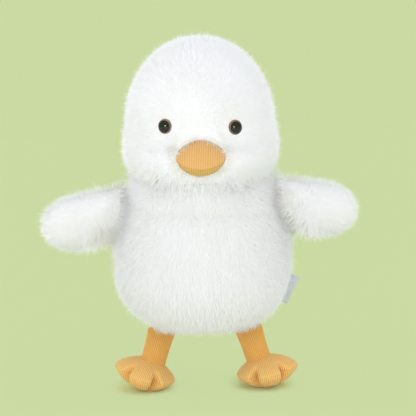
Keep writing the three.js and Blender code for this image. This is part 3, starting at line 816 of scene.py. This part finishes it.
# Legs: knit tubes filled with fibre, sewn flat across the underside and round below.
leg_knit = knit_fabric("leg_knit", (0.77, 0.41, 0.105), (0.475, 0.23, 0.052), 1.4, 1.1)
leg_limb = SimpleNamespace(start=0, length=0.035203, seam_half=0.0116, half_width=0.0106, half_thickness=0.0106,
                           seam_half_thickness=0.0035, corner=0.0025, swell=0.017, tip_round=0.0106, slant=0)
leg_splay = math.asin(-joint_axis("leg_left_swing").z)
leg_axes = np.array([(math.sin(leg_splay), 0, -math.cos(leg_splay)), (0, 1, 0),
                     (math.cos(leg_splay), 0, math.sin(leg_splay))])
for side, hand in (("left", 1), ("right", -1)):
    hip = np.array(joint_place("leg_left_swing"))
    shape = limb_ball(264, 120)
    ball = corners_of(shape)
    points = limb_skin(leg_limb, ball)
    turn = np.arctan2(ball[:, 1], ball[:, 2]) / (2 * math.pi)
    zigzag = np.abs((points[:, 0] / 0.0022) % 1 - 0.5)
    knit_uv(shape, (turn * 44 + zigzag) * 1.4, points[:, 0] * 1000)
    across = np.stack([np.zeros(len(ball)), ball[:, 1], ball[:, 2]], 1)
    points = points + unit(across) * (0.00016 * np.cos(2 * math.pi * (44 * turn + zigzag)))[:, None]
    move_to(shape, mirrored(points @ leg_axes + hip, hand))
    leg = finished(f"leg_{side}_knit", shape, leg_knit)
    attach(leg, f"leg_{side}")
    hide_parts(f"leg_{side}_cover", f"leg_{side}_stuffing")


# Feet: an upper and a sole of ribbed knit round a firm filling. Two tucks are stitched in at the
# front edge of each foot and part it into three toes.
foot_knit = knit_fabric("foot_knit", (0.835, 0.505, 0.167), (0.59, 0.33, 0.093), 1.25, 1.1)


def toe_outline(away):
    """The foot's edge seen from above: two tucks, deeper below the seam, and a pointed outer toe."""
    azimuth = np.degrees(np.arctan2(away[:, 0], -away[:, 1]))
    out = np.hypot(away[:, 0], away[:, 1]) / np.linalg.norm(away, axis=1)
    tuck = sum(np.exp(-(((azimuth - at) / 7.5) ** 2)) for at in (30, -30))
    point = np.exp(-(((azimuth - 78) / 22) ** 2))
    return 1 - 0.42 * out ** np.where(away[:, 2] > 0, 18, 5) * tuck + 0.08 * point


foot_form = ball_form((0, 0, 0), 0.0255, 0.031, 0.021, 0.0135, 0.0156, 1.45, 1.55, toe_outline)
foot_middle = np.array((middle_x + 0.0515, seam_y - 0.004, 0.0138))
for side, hand, roll, turn in (("left", 1, 10, 5), ("right", -1, 18, 10)):
    foot_turn = np.array(Euler((0, math.radians(-roll), math.radians(turn))).to_matrix())
    for part, sign, others in (("upper", 1, [f"foot_{side}_stuffing"]), ("sole", -1, [])):
        shape = bmesh.new()
        bmesh.ops.create_uvsphere(shape, u_segments=480, v_segments=80, radius=1)
        shape = in_order(shape)
        bmesh.ops.bisect_plane(shape, geom=shape.verts[:] + shape.edges[:] + shape.faces[:], dist=1e-6,
                               plane_co=(0, 0, 0.002 * sign), plane_no=(0, 0, -sign), clear_outer=True)
        bmesh.ops.holes_fill(shape, edges=[edge for edge in shape.edges if edge.is_boundary])
        shape.verts.index_update()
        points = filled(foot_form, corners_of(shape))
        fan = points[:, 0] / (1 + 0.3 * np.clip(-points[:, 1] / 0.031, 0, 1))
        knit_uv(shape, fan * 1000, points[:, 1] * 1000)
        points = ribbed(shape, points, fan / 0.00125, 0.00015)
        points = points @ foot_turn.T + foot_middle
        points[:, 2] = np.maximum(points[:, 2], 0)
        move_to(shape, mirrored(points, hand))
        foot = finished(f"foot_{side}_knit_{part}", shape, foot_knit)
        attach(foot, f"leg_{side}")
        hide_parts(f"foot_{side}_{part}", *others)


# Side label: a short grey woven ribbon, folded over and caught in the left side seam. It is bare.
ribbon, nodes, links, shader = fabric("ribbon", 0.7, sheen=0.2)
where = nodes.new("ShaderNodeTexCoord")
weave = nodes.new("ShaderNodeTexWave")
weave.bands_direction = "Z"
weave.inputs["Scale"].default_value = 400
shades = ramp(nodes, (0, (0.43, 0.47, 0.48)), (1, (0.55, 0.58, 0.59)))
links.new(where.outputs["Object"], weave.inputs["Vector"])
links.new(weave.outputs["Fac"], shades.inputs["Fac"])
links.new(shades.outputs["Color"], shader.inputs["Base Color"])
label_turn = np.array(Matrix.Rotation(math.radians(28), 3, "Y"))
shape = bmesh.new()
bmesh.ops.create_cube(shape, size=1, matrix=Matrix.Diagonal((0.015, 0.001, 0.026, 1)))
bmesh.ops.bevel(shape, geom=shape.edges[:], offset=0.0003, affect="EDGES", segments=2, profile=0.5, material=-1)
move_to(shape, corners_of(shape) @ label_turn.T + label_middle)
label = finished("side_ribbon", shape, ribbon)
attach(label, "torso")
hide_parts("side_label")


# Floor and light: a pale green paper sweep, a small soft lamp a little to the left of the camera, and
# a bright room round it. They are only the photographer's, and no part of the toy.
backdrop_green = (0.597, 0.701, 0.365)
foot_off_middle = (0.0515, 0.009, 0)  # round each foot the paper takes its shadow, and further out it is even
floor_shape = bmesh.new()
bmesh.ops.create_circle(floor_shape, cap_ends=True, segments=96, radius=3)
paper, nodes, links, shader = fabric("paper", 0.95, specular=0.0)
where = nodes.new("ShaderNodeTexCoord")
either_side = nodes.new("ShaderNodeVectorMath")
either_side.operation = "ABSOLUTE"
off_foot = nodes.new("ShaderNodeVectorMath")
off_foot.operation = "DISTANCE"
off_foot.inputs[1].default_value = foot_off_middle
fade = nodes.new("ShaderNodeMapRange")
fade.inputs["From Min"].default_value = 0.018
fade.inputs["From Max"].default_value = 0.030
fade.inputs["To Min"].default_value = 0.1
fade.inputs["To Max"].default_value = 0.92
shown = nodes.new("ShaderNodeMix")
shown.data_type = "RGBA"
shown.inputs["A"].default_value = (0.82, 0.86, 0.70, 1)
shown.inputs["B"].default_value = (*backdrop_green, 1)
links.new(shown.outputs["Result"], shader.inputs["Base Color"])
lit = nodes.new("ShaderNodeEmission")
lit.inputs["Color"].default_value = (*backdrop_green, 1)
rays = nodes.new("ShaderNodeLightPath")
links.new(rays.outputs["Is Camera Ray"], shown.inputs["Factor"])
seen = nodes.new("ShaderNodeMath")
seen.operation = "MULTIPLY"
mix = nodes.new("ShaderNodeMixShader")
output = nodes["Material Output"]
links.new(where.outputs["Object"], either_side.inputs[0])
links.new(either_side.outputs["Vector"], off_foot.inputs[0])
links.new(off_foot.outputs["Value"], fade.inputs["Value"])
links.new(fade.outputs["Result"], seen.inputs[0])
links.new(rays.outputs["Is Camera Ray"], seen.inputs[1])
links.new(seen.outputs["Value"], mix.inputs["Fac"])
links.new(shader.outputs["BSDF"], mix.inputs[1])
links.new(lit.outputs["Emission"], mix.inputs[2])
links.new(mix.outputs["Shader"], output.inputs["Surface"])
floor = finished("floor", floor_shape, paper)

world = bpy.data.worlds.new("room")
bpy.context.scene.world = world
world.use_nodes = True
nodes, links = world.node_tree.nodes, world.node_tree.links
room = nodes["Background"]
above = nodes.new("ShaderNodeMapRange")
above.inputs["To Min"].default_value = 1.46
above.inputs["To Max"].default_value = 1.02
ahead = nodes.new("ShaderNodeTexCoord")
apart = nodes.new("ShaderNodeSeparateXYZ")
behind = nodes.new("ShaderNodeMapRange")
behind.inputs["From Min"].default_value = -0.2
behind.inputs["From Max"].default_value = 0.9
sides = nodes.new("ShaderNodeMix")
sides.data_type = "RGBA"
sides.inputs["A"].default_value = (0.93, 0.95, 1.02, 1)
sides.inputs["B"].default_value = (0.82, 0.86, 0.74, 1)
links.new(ahead.outputs["Generated"], apart.inputs["Vector"])
links.new(apart.outputs["Y"], behind.inputs["Value"])
links.new(apart.outputs["Z"], above.inputs["Value"])
links.new(above.outputs["Result"], room.inputs["Strength"])
links.new(behind.outputs["Result"], sides.inputs["Factor"])
links.new(sides.outputs["Result"], room.inputs["Color"])
wall = nodes.new("ShaderNodeBackground")
wall.inputs["Color"].default_value = (*backdrop_green, 1)
rays = nodes.new("ShaderNodeLightPath")
either = nodes.new("ShaderNodeMath")
either.operation = "MAXIMUM"
any_of = nodes.new("ShaderNodeMath")
any_of.operation = "MAXIMUM"
mix = nodes.new("ShaderNodeMixShader")
links.new(rays.outputs["Is Camera Ray"], either.inputs[0])
links.new(rays.outputs["Is Glossy Ray"], either.inputs[1])
links.new(either.outputs["Value"], any_of.inputs[0])
links.new(rays.outputs["Is Transmission Ray"], any_of.inputs[1])
links.new(any_of.outputs["Value"], mix.inputs["Fac"])
links.new(room.outputs["Background"], mix.inputs[1])
links.new(wall.outputs["Background"], mix.inputs[2])
links.new(mix.outputs["Shader"], nodes["World Output"].inputs["Surface"])

softbox = bpy.data.lights.new("softbox", "AREA")
softbox.energy = 3.9
softbox.size = 0.26
softbox.color = (1.0, 0.99, 0.98)
lamp = bpy.data.objects.new("softbox", softbox)
lamp.location = (-0.15, -1.3, 0.34)
lamp.rotation_euler = (Vector((0, 0, 0.15)) - lamp.location).to_track_quat("-Z", "Y").to_euler()
bpy.context.collection.objects.link(lamp)

bpy.context.scene.view_settings.view_transform = "Standard"
